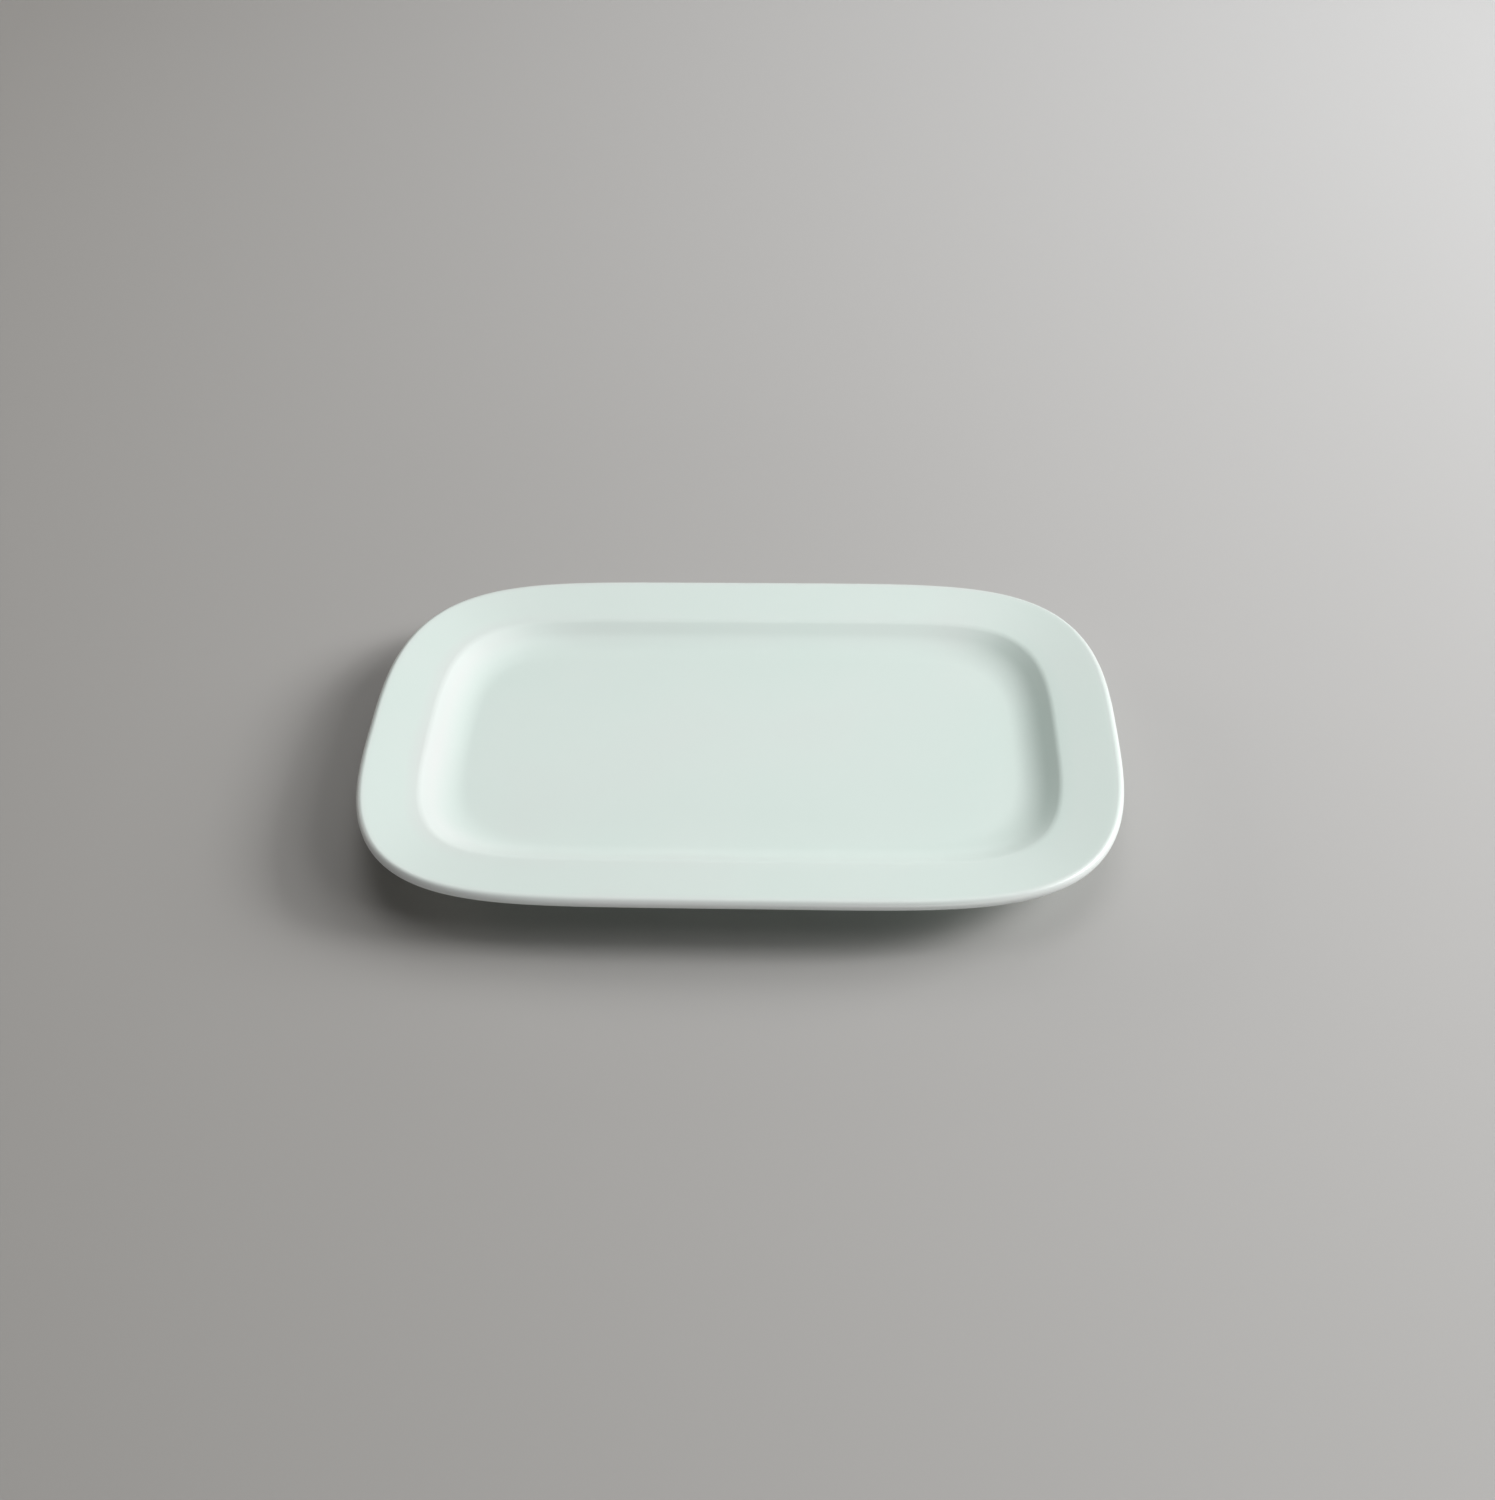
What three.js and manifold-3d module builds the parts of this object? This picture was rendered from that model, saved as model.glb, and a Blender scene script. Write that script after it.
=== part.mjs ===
// A rectangular serving platter: a pressed stoneware body under a satin glaze, with a bare clay foot.
// Millimetres, +Z up. The origin lies on the table under the platter's centre, and X runs along its length.
//
// One section, drawn along the length from the centre to the edge, is carried round the platter's outline.
// A section point is (reach, height), where reach is the half-length of the ring that the point lies on.

import Module from "manifold-3d";
import * as THREE from "three";
import { mergeVertices } from "three/addons/utils/BufferGeometryUtils.js";

const wasm = await Module();
wasm.setup();

// Outline, measured over the glaze. An exponent of 2 is an ellipse, and a higher one is squarer.
const LENGTH = 350;
const WIDTH = 225;
const EDGE_END_EXPONENT = 5.14;
const EDGE_SIDE_EXPONENT = 2.98;
const WELL_END_EXPONENT = 7.36;
const WELL_SIDE_EXPONENT = 3.43;

// Rim and well, measured over the glaze
const EDGE_THICKNESS = 5.5;
const RIM_WIDTH = 26.5;
const RIM_SLOPE = THREE.MathUtils.degToRad(9);
const SHOULDER_RADIUS = 8;
const WALL_LENGTH = 4.5;
const WALL_SLOPE = THREE.MathUtils.degToRad(32);
const COVE_RADIUS = 28;
const BASE_THICKNESS = 9;

// Foot ring, measured over the glaze, and the clay that the glaze leaves bare
const FOOT_HEIGHT = 11;
const FOOT_WIDTH = 8;
const FOOT_OUTSET = 4;
const FOOT_FILLET = 4;
const FOOT_ROUNDING = 1.5;
const GLAZE_LINE = 2;
const GLAZE_THICKNESS = 0.5;

// Facets
const STATIONS = 56;
const ARC_STEP = THREE.MathUtils.degToRad(6);
const TIGHT_ARC_STEP = THREE.MathUtils.degToRad(30);

const CLAY = new THREE.MeshStandardMaterial({ color: 0xd9cdb9, roughness: 0.85, metalness: 0 });
const GLAZE = new THREE.MeshStandardMaterial({ color: 0xd5e3dc, roughness: 0.4, metalness: 0 });

// Places along the section that follow from the sizes above. Each arc's centre serves both faces of the wall.
const halfLength = LENGTH / 2;
const edgeRadius = EDGE_THICKNESS / 2;
const floorHeight = FOOT_HEIGHT + BASE_THICKNESS;
const rimEnd = halfLength - RIM_WIDTH;
const shoulderReach = rimEnd + SHOULDER_RADIUS * Math.sin(RIM_SLOPE);
const wallTopReach = shoulderReach - SHOULDER_RADIUS * Math.sin(WALL_SLOPE);
const wallFootReach = wallTopReach - WALL_LENGTH * Math.cos(WALL_SLOPE);
const floorReach = wallFootReach - COVE_RADIUS * Math.sin(WALL_SLOPE);
const wallFootHeight = floorHeight + COVE_RADIUS * (1 - Math.cos(WALL_SLOPE));
const wallTopHeight = wallFootHeight + WALL_LENGTH * Math.sin(WALL_SLOPE);
const coveCentre = new THREE.Vector2(floorReach, floorHeight + COVE_RADIUS);
const shoulderCentre = new THREE.Vector2(shoulderReach, wallTopHeight - SHOULDER_RADIUS * Math.cos(WALL_SLOPE));
const rimDirection = new THREE.Vector2(Math.cos(RIM_SLOPE), Math.sin(RIM_SLOPE));
const rimUp = new THREE.Vector2(-rimDirection.y, rimDirection.x);
const edgeCentre = findEdgeCentre();
const footReach = floorReach + FOOT_OUTSET;
const footFilletCentre = findFootFilletCentre();

// The edge's centre lies half the thickness under the rim's sloping top, where its round reaches the full length.
function findEdgeCentre() {
  const start = shoulderCentre.clone().addScaledVector(rimUp, SHOULDER_RADIUS - edgeRadius);
  const run = (halfLength - edgeRadius - start.x) / rimDirection.x;
  return start.addScaledVector(rimDirection, run);
}

// The fillet touches the underside of the cove and the upright outer face of the foot.
function findFootFilletCentre() {
  const reach = footReach + FOOT_FILLET;
  const fromCove = COVE_RADIUS + EDGE_THICKNESS + FOOT_FILLET;
  return new THREE.Vector2(reach, coveCentre.y - Math.sqrt(fromCove ** 2 - (reach - coveCentre.x) ** 2));
}

// Points along an arc from one direction to another, both measured from +reach towards +height.
function arc(centre, radius, from, to, step) {
  const count = Math.max(1, Math.ceil(Math.abs(to - from) / step));
  const curve = new THREE.EllipseCurve(centre.x, centre.y, radius, radius, from, to, to < from);
  return curve.getPoints(count);
}

// The glazed base inside the foot at a depth under its surface, from the centre to the inner glaze line.
function baseSection(depth) {
  const inner = footReach - FOOT_WIDTH;
  const filletCentre = new THREE.Vector2(inner - FOOT_FILLET, FOOT_HEIGHT - FOOT_FILLET);
  return [
    new THREE.Vector2(0, FOOT_HEIGHT + depth),
    ...arc(filletCentre, FOOT_FILLET + depth, Math.PI / 2, 0, TIGHT_ARC_STEP),
    new THREE.Vector2(inner + depth, GLAZE_LINE),
  ];
}

// The bare clay of the foot, from the inner glaze line under the foot to the outer one.
function footSection() {
  const inner = footReach - FOOT_WIDTH + GLAZE_THICKNESS + FOOT_ROUNDING;
  const outer = footReach - GLAZE_THICKNESS - FOOT_ROUNDING;
  const innerRound = new THREE.Vector2(inner, FOOT_ROUNDING);
  const outerRound = new THREE.Vector2(outer, FOOT_ROUNDING);
  return [
    ...arc(innerRound, FOOT_ROUNDING, -Math.PI, -Math.PI / 2, TIGHT_ARC_STEP),
    ...arc(outerRound, FOOT_ROUNDING, -Math.PI / 2, 0, TIGHT_ARC_STEP),
  ];
}

// The glazed face at a depth under its surface, from the outer glaze line to the centre of the floor:
// the foot's outer face, the underside of the cove and rim, the edge, the rim, the shoulder and the cove.
function faceSection(depth) {
  const down = -Math.PI / 2;
  const up = Math.PI / 2;
  const filletEnd = coveCentre.clone().sub(footFilletCentre).angle();
  const underCove = COVE_RADIUS + EDGE_THICKNESS - depth;
  const underShoulder = SHOULDER_RADIUS - EDGE_THICKNESS + depth;
  return [
    new THREE.Vector2(footReach - depth, GLAZE_LINE),
    ...arc(footFilletCentre, FOOT_FILLET + depth, Math.PI, filletEnd, TIGHT_ARC_STEP),
    ...arc(coveCentre, underCove, filletEnd - Math.PI, down + WALL_SLOPE, ARC_STEP).slice(1),
    ...arc(shoulderCentre, underShoulder, up + WALL_SLOPE, up + RIM_SLOPE, ARC_STEP),
    ...arc(edgeCentre, edgeRadius - depth, down + RIM_SLOPE, 0, TIGHT_ARC_STEP),
    ...arc(edgeCentre, edgeRadius - depth, 0, up + RIM_SLOPE, TIGHT_ARC_STEP).slice(1),
    ...arc(shoulderCentre, SHOULDER_RADIUS - depth, up + RIM_SLOPE, up + WALL_SLOPE, ARC_STEP),
    ...arc(coveCentre, COVE_RADIUS + depth, down + WALL_SLOPE, down, ARC_STEP),
    new THREE.Vector2(0, floorHeight - depth),
  ];
}

// A point of the ring at a reach. Rings keep their distance from the edge, and grow squarer from the edge to the well.
function ringPoint(reach, angle) {
  if (reach === 0) {
    return new THREE.Vector2(0, 0);
  }
  const share = Math.min(1, (halfLength - reach) / RIM_WIDTH);
  const endExponent = THREE.MathUtils.lerp(EDGE_END_EXPONENT, WELL_END_EXPONENT, share);
  const sideExponent = THREE.MathUtils.lerp(EDGE_SIDE_EXPONENT, WELL_SIDE_EXPONENT, share);
  const along = Math.cos(angle);
  const across = Math.sin(angle);
  const halfWidth = reach - (LENGTH - WIDTH) / 2;
  return new THREE.Vector2(
    reach * Math.sign(along) * Math.abs(along) ** (2 / endExponent),
    halfWidth * Math.sign(across) * Math.abs(across) ** (2 / sideExponent),
  );
}

// A lathe form whose circles are moved onto the platter's rings, as a solid.
function carryRound(section) {
  const geometry = new THREE.LatheGeometry(section, STATIONS);
  geometry.deleteAttribute("normal");
  geometry.deleteAttribute("uv");
  const position = geometry.getAttribute("position");
  for (let i = 0; i < position.count; i++) {
    const { x: reach, y: height } = section[i % section.length];
    const station = Math.floor(i / section.length) % STATIONS;
    const { x, y } = ringPoint(reach, (2 * Math.PI * station) / STATIONS);
    position.setXYZ(i, x, y, height);
  }
  const joined = mergeVertices(geometry);
  const vertProperties = joined.getAttribute("position").array;
  const triVerts = Uint32Array.from(joined.getIndex().array);
  return new wasm.Manifold(new wasm.Mesh({ numProp: 3, vertProperties, triVerts }));
}

function piece(name, solid, material) {
  const { vertProperties, triVerts } = solid.getMesh();
  const geometry = new THREE.BufferGeometry();
  geometry.setAttribute("position", new THREE.BufferAttribute(vertProperties, 3));
  geometry.setIndex(new THREE.BufferAttribute(triVerts, 1));
  geometry.computeVertexNormals();
  const mesh = new THREE.Mesh(geometry, material);
  mesh.name = name;
  return mesh;
}

// The clay, and what the glaze would fill if the clay were hollow. Each coat is what the clay leaves of that.
const clay = carryRound([...baseSection(GLAZE_THICKNESS), ...footSection(), ...faceSection(GLAZE_THICKNESS)]);
const footMiddle = footReach - FOOT_WIDTH / 2;
const coreHeight = FOOT_HEIGHT + BASE_THICKNESS / 2;
const core = [
  new THREE.Vector2(0, coreHeight),
  new THREE.Vector2(footMiddle, coreHeight),
  new THREE.Vector2(footMiddle, GLAZE_LINE),
];
const faceCoat = carryRound([...core, ...faceSection(0)]).subtract(clay);
const baseCoat = carryRound([...baseSection(0), ...core.toReversed()]).subtract(clay);

const platter = new THREE.Group();
platter.add(piece("stoneware_body", clay, CLAY));
platter.add(piece("face_glaze", faceCoat, GLAZE));
platter.add(piece("base_glaze", baseCoat, GLAZE));

export default platter;
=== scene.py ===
"""A serving platter in satin mint glaze, on a plain pale floor under soft light from the right."""

import math

import bmesh
import bpy
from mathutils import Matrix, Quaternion, Vector


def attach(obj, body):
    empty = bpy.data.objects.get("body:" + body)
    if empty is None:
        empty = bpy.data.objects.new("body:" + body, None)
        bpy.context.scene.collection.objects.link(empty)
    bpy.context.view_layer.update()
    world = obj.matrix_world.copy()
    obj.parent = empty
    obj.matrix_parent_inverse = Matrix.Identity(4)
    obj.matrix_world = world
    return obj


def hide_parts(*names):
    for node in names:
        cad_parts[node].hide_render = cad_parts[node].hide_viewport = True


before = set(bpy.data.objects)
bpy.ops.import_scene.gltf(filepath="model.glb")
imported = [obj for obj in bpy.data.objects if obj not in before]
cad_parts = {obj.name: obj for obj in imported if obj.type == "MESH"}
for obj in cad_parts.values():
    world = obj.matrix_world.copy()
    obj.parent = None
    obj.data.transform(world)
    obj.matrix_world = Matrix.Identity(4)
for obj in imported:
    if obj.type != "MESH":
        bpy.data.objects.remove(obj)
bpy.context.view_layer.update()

MM = 0.001

# Outline, over the glaze. An exponent of 2 is an ellipse, and a higher one is squarer.
LENGTH = 350 * MM
WIDTH = 225 * MM
EDGE_EXPONENTS = (5.14, 2.98)
WELL_EXPONENTS = (7.36, 3.43)

# Section, over the glaze
EDGE_THICKNESS = 5.5 * MM
RIM_WIDTH = 26.5 * MM
RIM_SLOPE = math.radians(9)
SHOULDER_RADIUS = 8 * MM
WALL_LENGTH = 4.5 * MM
WALL_SLOPE = math.radians(32)
COVE_RADIUS = 28 * MM
BASE_THICKNESS = 9 * MM
FOOT_HEIGHT = 11 * MM
FOOT_WIDTH = 8 * MM
FOOT_OUTSET = 4 * MM
FOOT_FILLET = 4 * MM
FOOT_ROUNDING = 1.5 * MM
GLAZE_LINE = 2 * MM
GLAZE_THICKNESS = 0.5 * MM

# Fineness of the meshes
STATIONS = 240
ARC_STEP = math.radians(3)
TIGHT_ARC_STEP = math.radians(12)
RIM_DIVISIONS = 12
MERGE_DISTANCE = 0.001 * MM
CENTRE_REACH = 1 * MM

UP = math.pi / 2
DOWN = -math.pi / 2

# How thick the glaze looks, from 0 for bare to 1 for pooled, and how far each change of it reaches
COAT_AS_DIPPED = 0.5
COAT_LOST_AT_EDGE = 0.3
COAT_LOST_ON_WALL = 0.08
COAT_GAINED_IN_COVE = 0.08
# The next value leans the wall glaze from end to end: painted highlight on the left wall, painted shade on
# the right wall
COAT_LEAN_FOR_PAINTED_LIGHT = 1.2
COAT_DRIFT = 0.16
EDGE_REACH = 4 * MM
WALL_REACH = 13 * MM
COVE_REACH = 14 * MM
# Where along the length that painted lean of the wall glaze begins
PAINTED_LIGHT_LEAN_START = 0.6

# Colours
# The thin glaze tone also serves as painted highlight on the left wall, and the pooled tone as painted
# shade on the right wall
GLAZE_THIN_AND_PAINTED_HIGHLIGHT = (0.682, 0.662, 0.665)
GLAZE_COLOR = (0.675, 0.771, 0.729)
GLAZE_POOLED_AND_PAINTED_SHADE = (0.6, 0.76, 0.697)
GLAZE_SHEEN = 0.85
CLAY_GROG = (0.36, 0.29, 0.21)
CLAY_BUFF = (0.6, 0.53, 0.42)
CLAY_PALE = (0.68, 0.61, 0.5)
# Floor tones of painted light: the dim one away from the pale place, the pale one near it
FLOOR_PAINTED_SHADE_TONE = (0.348, 0.338, 0.324)
FLOOR_PAINTED_LIGHT_TONE = (0.592, 0.591, 0.588)
ROOM_COLOR = (0.012, 0.0115, 0.011, 1)
BACKDROP_COLOR = (0.17, 0.166, 0.16, 1)
WHITE_LIGHT = (1, 1, 1)
WARM_LIGHT = (1, 0.94, 0.89)

# Floor, in metres. Its tone is painted light: palest near a place outside it, at its back right, and
# darker away from it.
FLOOR_SIZE = 3.6
FLOOR_PAINTED_LIGHT_PLACE = (2.84, 1.4, 0)
FLOOR_PAINTED_LIGHT_WITHIN = 2.3
FLOOR_PAINTED_SHADE_BEYOND = 3.55
FLOOR_ROUGHNESS = 0.9

# Camera, with its lens and sensor in millimetres
CAMERA_AT = Vector((36.74, -629.37, 587.8)) * MM
LOOKS_AT = Vector((2.53, 7.53, 9.48)) * MM
CAMERA_ROLL = math.radians(1.519)
LENS = 43.2
SENSOR_HEIGHT = 36
NEAREST_SEEN = 10 * MM

# Places along the section that follow from the sizes above
half_length = LENGTH / 2
edge_radius = EDGE_THICKNESS / 2
floor_height = FOOT_HEIGHT + BASE_THICKNESS
rim_end = half_length - RIM_WIDTH
shoulder_reach = rim_end + SHOULDER_RADIUS * math.sin(RIM_SLOPE)
wall_top_reach = shoulder_reach - SHOULDER_RADIUS * math.sin(WALL_SLOPE)
wall_foot_reach = wall_top_reach - WALL_LENGTH * math.cos(WALL_SLOPE)
floor_reach = wall_foot_reach - COVE_RADIUS * math.sin(WALL_SLOPE)
cove_middle_reach = (floor_reach + wall_foot_reach) / 2
wall_foot_height = floor_height + COVE_RADIUS * (1 - math.cos(WALL_SLOPE))
wall_top_height = wall_foot_height + WALL_LENGTH * math.sin(WALL_SLOPE)
shoulder_height = wall_top_height - SHOULDER_RADIUS * math.cos(WALL_SLOPE)
cove_centre = Vector((floor_reach, floor_height + COVE_RADIUS))
shoulder_centre = Vector((shoulder_reach, shoulder_height))
rim_direction = Vector((math.cos(RIM_SLOPE), math.sin(RIM_SLOPE)))
rim_up = Vector((-math.sin(RIM_SLOPE), math.cos(RIM_SLOPE)))
rim_middle = shoulder_centre + rim_up * (SHOULDER_RADIUS - edge_radius)
edge_run = (half_length - edge_radius - rim_middle.x) / rim_direction.x
edge_centre = rim_middle + rim_direction * edge_run
foot_reach = floor_reach + FOOT_OUTSET
fillet_reach = foot_reach + FOOT_FILLET
fillet_from_cove = COVE_RADIUS + EDGE_THICKNESS + FOOT_FILLET
fillet_drop = math.sqrt(fillet_from_cove ** 2 - (fillet_reach - cove_centre.x) ** 2)
fillet_centre = Vector((fillet_reach, cove_centre.y - fillet_drop))


def arc(centre, radius, start, end, step):
    """Points along an arc between two directions, measured from +reach towards +height."""
    count = max(1, math.ceil(abs(end - start) / step))
    angles = [start + (end - start) * i / count for i in range(count + 1)]
    return [Vector((centre.x + radius * math.cos(a), centre.y + radius * math.sin(a))) for a in angles]


def between_ends(start, end, count):
    """Points that part a straight run into equal lengths, without its ends."""
    return [start.lerp(end, i / count) for i in range(1, count)]


def base_section(depth):
    """The glazed base inside the foot, from the centre to the inner glaze line."""
    inner = foot_reach - FOOT_WIDTH
    centre = Vector((inner - FOOT_FILLET, FOOT_HEIGHT - FOOT_FILLET))
    return [
        Vector((0, FOOT_HEIGHT + depth)),
        *arc(centre, FOOT_FILLET + depth, UP, 0, TIGHT_ARC_STEP),
        Vector((inner + depth, GLAZE_LINE)),
    ]


def foot_section():
    """The bare clay of the foot, from the inner glaze line under the foot to the outer one."""
    inner = Vector((foot_reach - FOOT_WIDTH + GLAZE_THICKNESS + FOOT_ROUNDING, FOOT_ROUNDING))
    outer = Vector((foot_reach - GLAZE_THICKNESS - FOOT_ROUNDING, FOOT_ROUNDING))
    return [
        *arc(inner, FOOT_ROUNDING, -math.pi, DOWN, TIGHT_ARC_STEP),
        *arc(outer, FOOT_ROUNDING, DOWN, 0, TIGHT_ARC_STEP),
    ]


def face_section(depth):
    """The glazed face, from the outer glaze line round the edge to the centre of the floor."""
    to_cove = cove_centre - fillet_centre
    fillet_end = math.atan2(to_cove.y, to_cove.x)
    under_cove = COVE_RADIUS + EDGE_THICKNESS - depth
    under_shoulder = SHOULDER_RADIUS - EDGE_THICKNESS + depth
    edge_top = arc(edge_centre, edge_radius - depth, 0, UP + RIM_SLOPE, TIGHT_ARC_STEP)[1:]
    shoulder = arc(shoulder_centre, SHOULDER_RADIUS - depth, UP + RIM_SLOPE, UP + WALL_SLOPE, ARC_STEP)
    return [
        Vector((foot_reach - depth, GLAZE_LINE)),
        *arc(fillet_centre, FOOT_FILLET + depth, math.pi, fillet_end, TIGHT_ARC_STEP),
        *arc(cove_centre, under_cove, fillet_end - math.pi, DOWN + WALL_SLOPE, ARC_STEP)[1:],
        *arc(shoulder_centre, under_shoulder, UP + WALL_SLOPE, UP + RIM_SLOPE, ARC_STEP),
        *arc(edge_centre, edge_radius - depth, DOWN + RIM_SLOPE, 0, TIGHT_ARC_STEP),
        *edge_top,
        *between_ends(edge_top[-1], shoulder[0], RIM_DIVISIONS),
        *shoulder,
        *arc(cove_centre, COVE_RADIUS + depth, DOWN + WALL_SLOPE, DOWN, ARC_STEP),
        Vector((0, floor_height - depth)),
    ]


def on_ring(reach, angle):
    """Where a point of a turned circle lies on the platter's ring of that reach."""
    if reach < CENTRE_REACH:
        return 0, 0
    inward = min(1, (half_length - reach) / RIM_WIDTH)
    end_exponent, side_exponent = (
        at_edge + (at_well - at_edge) * inward for at_edge, at_well in zip(EDGE_EXPONENTS, WELL_EXPONENTS)
    )
    half_width = reach - (LENGTH - WIDTH) / 2
    along = math.cos(angle)
    across = math.sin(angle)
    x = reach * math.copysign(abs(along) ** (2 / end_exponent), along)
    y = half_width * math.copysign(abs(across) ** (2 / side_exponent), across)
    return x, y


def nearness(distance, limit):
    """1 at no distance, falling evenly to 0 at the limit and beyond it."""
    return max(0, 1 - abs(distance) / limit)


def glaze_coat_and_painted_light(reach, x):
    """How thick the glaze looks. It ran off the edge and the wall, and gathered in the cove.

    Its wall glaze also leans from end to end: thin and more neutral on the left wall, as painted highlight
    where the light from the right falls, and thick, greener and darker on the right wall, as painted
    shade.
    """
    edge = nearness(half_length - reach, EDGE_REACH)
    wall = nearness(reach - wall_foot_reach, WALL_REACH)
    cove = nearness(reach - cove_middle_reach, COVE_REACH)
    # Painted light: thinner, more neutral glaze on the lit left wall, thicker, greener and darker glaze on
    # the shaded right wall
    painted_light_lean = math.copysign(max(0, abs(x) / half_length - PAINTED_LIGHT_LEAN_START), x)
    wall_coat_and_painted_light = COAT_LEAN_FOR_PAINTED_LIGHT * painted_light_lean - COAT_LOST_ON_WALL
    return COAT_AS_DIPPED - COAT_LOST_AT_EDGE * edge + wall_coat_and_painted_light * wall + COAT_GAINED_IN_COVE * cove


def turned_piece(name, section, node, material):
    """A section spun into a round form and then drawn out onto the platter's rings, as one piece."""
    mesh = bmesh.new()
    coat = mesh.verts.layers.float.new("glaze_coat_and_painted_light")
    points = [mesh.verts.new((p.x, 0, p.y)) for p in section]
    lines = [mesh.edges.new(pair) for pair in zip(points, points[1:])]
    bmesh.ops.spin(
        mesh, geom=points + lines, cent=(0, 0, 0), axis=(0, 0, 1),
        angle=2 * math.pi, steps=STATIONS, use_merge=True,
    )
    bmesh.ops.remove_doubles(mesh, verts=mesh.verts, dist=MERGE_DISTANCE)
    bmesh.ops.recalc_face_normals(mesh, faces=mesh.faces)
    for vert in mesh.verts:
        x, y = vert.co.xy
        reach = math.hypot(x, y)
        vert.co.xy = on_ring(reach, math.atan2(y, x))
        vert[coat] = glaze_coat_and_painted_light(reach, vert.co.x)
    for face in mesh.faces:
        face.smooth = True
    data = bpy.data.meshes.new(name)
    mesh.to_mesh(data)
    mesh.free()
    data.materials.append(material)
    piece = bpy.data.objects.new(name, data)
    bpy.context.collection.objects.link(piece)
    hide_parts(node)
    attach(piece, "root")


class Shading:
    """A material and its nodes, with short calls to add and join them."""

    def __init__(self, name):
        self.material = bpy.data.materials.new(name)
        self.material.use_nodes = True
        self.tree = self.material.node_tree
        self.surface = self.tree.nodes["Principled BSDF"]
        self.place = self.add("ShaderNodeTexCoord").outputs["Object"]

    def add(self, kind, **settings):
        node = self.tree.nodes.new(kind)
        for key, value in settings.items():
            setattr(node, key, value)
        return node

    def join(self, output, target):
        self.tree.links.new(output, target)

    def noise(self, scale, detail):
        """Noise from 0 to 1, whose scale is the number of blotches in a metre."""
        node = self.add("ShaderNodeTexNoise")
        node.inputs["Scale"].default_value = scale
        node.inputs["Detail"].default_value = detail
        self.join(self.place, node.inputs["Vector"])
        return node.outputs["Fac"]

    def between(self, value, start, end, low=0, high=1):
        """A value that runs from low to high, laid out from start to end."""
        node = self.add("ShaderNodeMapRange")
        node.inputs["From Min"].default_value = low
        node.inputs["From Max"].default_value = high
        node.inputs["To Min"].default_value = start
        node.inputs["To Max"].default_value = end
        self.join(value, node.inputs["Value"])
        return node.outputs["Result"]

    def tones(self, value, stops):
        """Colours along a value, from pairs of a place from 0 to 1 and a colour."""
        node = self.add("ShaderNodeValToRGB")
        ramp = node.color_ramp
        ramp.elements.remove(ramp.elements[0])
        for i, (position, color) in enumerate(stops):
            element = ramp.elements[0] if i == 0 else ramp.elements.new(position)
            element.position = position
            element.color = (*color, 1)
        self.join(value, node.inputs["Fac"])
        return node.outputs["Color"]

    def bump(self, height, depth, strength):
        node = self.add("ShaderNodeBump")
        node.inputs["Distance"].default_value = depth
        node.inputs["Strength"].default_value = strength
        self.join(height, node.inputs["Height"])
        self.join(node.outputs["Normal"], self.surface.inputs["Normal"])


def glaze_material():
    """Satin mint glaze with a faint orange peel, whiter where it lies thin and greener where it pools; its
    end walls carry painted highlight and painted shade.
    """
    shading = Shading("mint_glaze")
    coat = shading.add("ShaderNodeAttribute", attribute_name="glaze_coat_and_painted_light").outputs["Fac"]
    drift = shading.between(shading.noise(scale=14, detail=2), start=-COAT_DRIFT, end=COAT_DRIFT)
    total = shading.add("ShaderNodeMath", operation="ADD", use_clamp=True)
    shading.join(coat, total.inputs[0])
    shading.join(drift, total.inputs[1])
    # The thin tone also paints the highlight on the left wall, and the pooled tone paints the shade on the
    # right wall
    stops = [(0, GLAZE_THIN_AND_PAINTED_HIGHLIGHT), (COAT_AS_DIPPED, GLAZE_COLOR), (1, GLAZE_POOLED_AND_PAINTED_SHADE)]
    color = shading.tones(total.outputs["Value"], stops)
    roughness = shading.between(shading.noise(scale=45, detail=3), start=0.33, end=0.43)
    shading.join(color, shading.surface.inputs["Base Color"])
    shading.join(roughness, shading.surface.inputs["Roughness"])
    shading.surface.inputs["Specular IOR Level"].default_value = GLAZE_SHEEN
    shading.bump(shading.noise(scale=420, detail=1), depth=0.05 * MM, strength=0.25)
    return shading.material


def clay_material():
    """Bare fired stoneware, buff with fine darker grog."""
    shading = Shading("bare_clay")
    grain = shading.noise(scale=900, detail=3)
    color = shading.tones(grain, [(0.3, CLAY_GROG), (0.42, CLAY_BUFF), (0.75, CLAY_PALE)])
    roughness = shading.between(grain, start=0.95, end=0.8)
    shading.join(color, shading.surface.inputs["Base Color"])
    shading.join(roughness, shading.surface.inputs["Roughness"])
    shading.bump(grain, depth=0.1 * MM, strength=0.5)
    return shading.material


def floor_material():
    """A matt grey floor whose painted light darkens away from its pale place."""
    shading = Shading("grey_floor_painted_light")
    away = shading.add("ShaderNodeVectorMath", operation="DISTANCE")
    away.inputs[1].default_value = FLOOR_PAINTED_LIGHT_PLACE
    shading.join(shading.place, away.inputs[0])
    painted_light_grade = shading.between(
        away.outputs["Value"], start=0, end=1, low=FLOOR_PAINTED_LIGHT_WITHIN, high=FLOOR_PAINTED_SHADE_BEYOND
    )
    color = shading.tones(painted_light_grade, [(0, FLOOR_PAINTED_LIGHT_TONE), (1, FLOOR_PAINTED_SHADE_TONE)])
    shading.join(color, shading.surface.inputs["Base Color"])
    shading.surface.inputs["Roughness"].default_value = FLOOR_ROUGHNESS
    return shading.material


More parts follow.
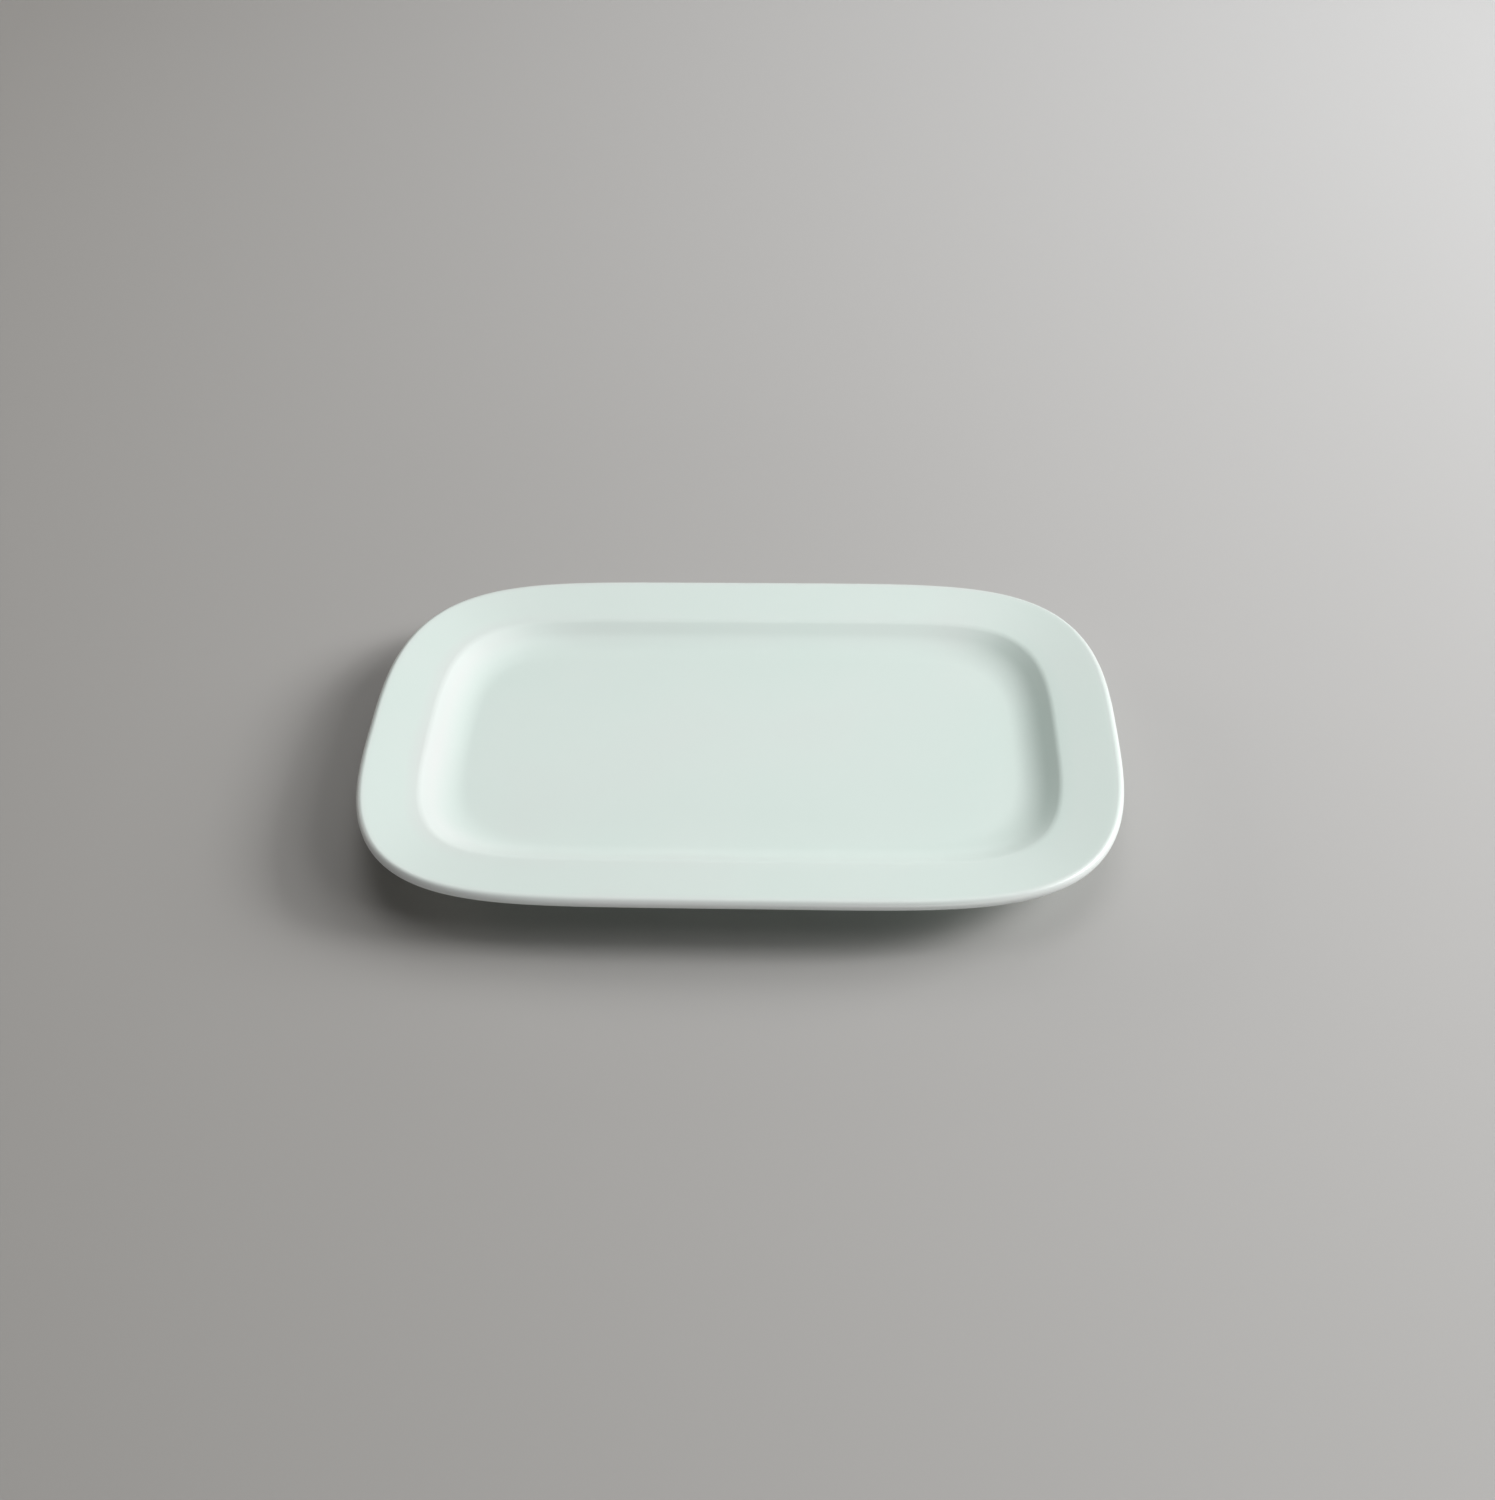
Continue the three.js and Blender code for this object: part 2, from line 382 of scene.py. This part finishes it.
def softbox(name, azimuth, elevation, distance, width, height, power, tint=WHITE_LIGHT):
    """A soft lamp that faces the platter. Its azimuth and elevation are in degrees."""
    data = bpy.data.lights.new(name, "AREA")
    data.shape = "RECTANGLE"
    data.size = width
    data.size_y = height
    data.energy = power
    data.color = tint
    lamp = bpy.data.objects.new(name, data)
    bpy.context.collection.objects.link(lamp)
    bearing, rise = math.radians(azimuth), math.radians(elevation)
    flat = Vector((math.cos(bearing), math.sin(bearing), 0)) * math.cos(rise)
    lamp.location = (flat + Vector((0, 0, math.sin(rise)))) * distance
    lamp.rotation_euler = lamp.location.to_track_quat("Z", "Y").to_euler()


# Platter
glaze = glaze_material()
clay = clay_material()
turned_piece(
    "platter_clay",
    [*base_section(GLAZE_THICKNESS), *foot_section(), *face_section(GLAZE_THICKNESS)],
    "stoneware_body", clay,
)
turned_piece(
    "platter_face_glaze",
    [*reversed(face_section(GLAZE_THICKNESS)), *face_section(0)],
    "face_glaze", glaze,
)
turned_piece(
    "platter_base_glaze",
    [*base_section(0), *reversed(base_section(GLAZE_THICKNESS))],
    "base_glaze", glaze,
)

# Floor
bpy.ops.mesh.primitive_plane_add(size=FLOOR_SIZE)
floor = bpy.context.object
floor.name = "floor"
floor.data.materials.append(floor_material())

# Light
softbox("right_softbox", azimuth=0, elevation=30, distance=4, width=1, height=1, power=69)
softbox("right_back_softbox", azimuth=16, elevation=27, distance=4, width=1.75, height=1.75, power=76.5)
softbox("right_front_softbox", azimuth=345, elevation=45, distance=2.2, width=1.2, height=0.6, power=13.8)
softbox("back_softbox", azimuth=78, elevation=54, distance=2.4, width=2.6, height=1.2, power=11)
softbox("low_back_strip", azimuth=90, elevation=15, distance=2.4, width=1.2, height=0.6, power=3.5)
softbox("top_softbox", azimuth=60, elevation=85, distance=2.4, width=1.2, height=1.2, power=9.7)
softbox(
    "left_fill", azimuth=155, elevation=20, distance=2.2, width=1, height=0.6, power=5.6, tint=WARM_LIGHT
)
softbox("low_front_strip", azimuth=288, elevation=6, distance=2.2, width=1.4, height=0.35, power=9.6)

# Room, with a grey backdrop that shows to the camera and in the glaze but doesn't light the floor
world = bpy.data.worlds.new("room")
world.use_nodes = True
nodes, links = world.node_tree.nodes, world.node_tree.links
room = nodes["Background"]
room.inputs["Color"].default_value = ROOM_COLOR
backdrop = nodes.new("ShaderNodeBackground")
backdrop.inputs["Color"].default_value = BACKDROP_COLOR
seen = nodes.new("ShaderNodeMixShader")
rays = nodes.new("ShaderNodeLightPath").outputs
shows = rays["Is Camera Ray"]
for ray in ("Is Glossy Ray", "Is Transmission Ray"):
    either = nodes.new("ShaderNodeMath")
    either.operation = "MAXIMUM"
    links.new(shows, either.inputs[0])
    links.new(rays[ray], either.inputs[1])
    shows = either.outputs["Value"]
links.new(shows, seen.inputs["Fac"])
links.new(room.outputs["Background"], seen.inputs[1])
links.new(backdrop.outputs["Background"], seen.inputs[2])
links.new(seen.outputs["Shader"], nodes["World Output"].inputs["Surface"])
bpy.context.scene.world = world

# Camera
camera_data = bpy.data.cameras.new("camera")
camera_data.sensor_fit = "VERTICAL"
camera_data.sensor_height = SENSOR_HEIGHT
camera_data.lens = LENS
camera_data.clip_start = NEAREST_SEEN
camera = bpy.data.objects.new("camera", camera_data)
bpy.context.collection.objects.link(camera)
camera.location = CAMERA_AT
turn = (LOOKS_AT - CAMERA_AT).to_track_quat("-Z", "Y") @ Quaternion((0, 0, 1), -CAMERA_ROLL)
camera.rotation_euler = turn.to_euler()
bpy.context.scene.camera = camera
bpy.context.scene.view_settings.view_transform = "Standard"
